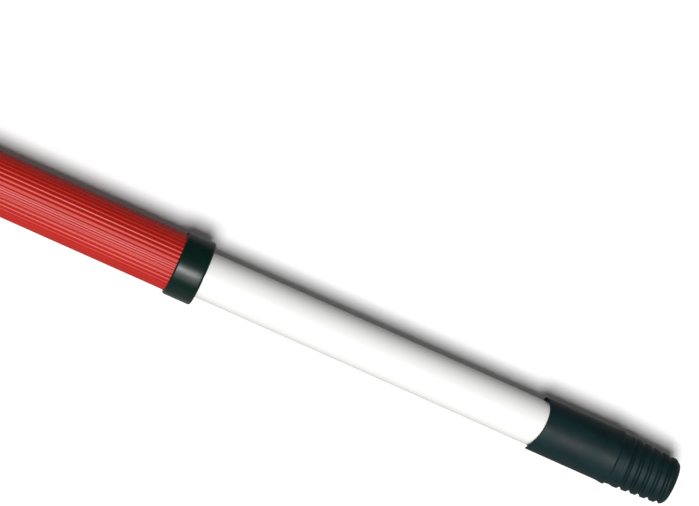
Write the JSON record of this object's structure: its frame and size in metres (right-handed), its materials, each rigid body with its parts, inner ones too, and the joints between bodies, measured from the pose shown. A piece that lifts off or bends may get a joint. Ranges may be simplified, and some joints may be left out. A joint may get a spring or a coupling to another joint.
{
  "type": "roller extension pole",
  "caption": "Telescopic pole for paint rollers: ribbed outer tube with an octagonal handle, collar, smooth inner tube, twist lock and threaded tip.",
  "frame": {"origin": "middle of the handle's flat butt face, on the pole's axis", "axes": "+X along the pole from the butt to the threaded tip, +Z square to the handle flat that the hanging slot and both grip screws open in"},
  "size_m": [0.797, 0.031, 0.031],
  "materials": {
    "bare_steel": "drawn and galvanised tube",
    "red_cover": "extruded soft gloss with fine lengthwise ribs",
    "black_grip": "moulded, satin, green-black",
    "black_collar": "moulded, gloss",
    "black_tip": "moulded, satin",
    "white_paint": "gloss white enamel",
    "zinc_steel": "zinc plated",
    "grey_nylon": "moulded",
    "natural_nylon": "moulded, waxy",
    "black_rubber": "moulded O-ring"
  },
  "bodies": {
    "outer_section": {"outer_tube": "bare_steel", "ribbed_cover": "red_cover", "handle_grip": "black_grip", "grip_screw_front": "zinc_steel", "grip_screw_rear": "zinc_steel", "tube_end_plug": "grey_nylon", "collar": "black_collar", "guide_bush": "natural_nylon"},
    "guide": {"guide_ring": "natural_nylon", "drag_ring": "black_rubber"},
    "inner_section": {"inner_tube": "white_paint", "threaded_tip": "black_tip", "tip_rivet": "zinc_steel", "lock_plug": "grey_nylon", "lock_cross_pin": "zinc_steel", "lock_spindle": "zinc_steel", "thrust_washer": "zinc_steel", "lock_washer": "zinc_steel", "lock_screw": "zinc_steel"},
    "cam": {"lock_cam": "natural_nylon"}
  },
  "joints": [
    {"name": "extend", "type": "slide", "parent": "outer_section", "child": "guide", "axis": [1, 0, 0], "range_m": [-0.1665, 0.2418]},
    {"name": "twist", "type": "hinge", "parent": "guide", "child": "inner_section", "pos_m": [0.28, 0, 0], "axis": [1, 0, 0], "range_deg": [-36, 36]},
    {"name": "cam_turn", "type": "hinge", "parent": "inner_section", "child": "cam", "pos_m": [0.27, 0, -0.0015], "axis": [1, 0, 0], "range_deg": [-36, 36]}
  ],
  "couplings": [
    {"joint": "cam_turn", "follows": "twist", "ratio": -1}
  ]
}
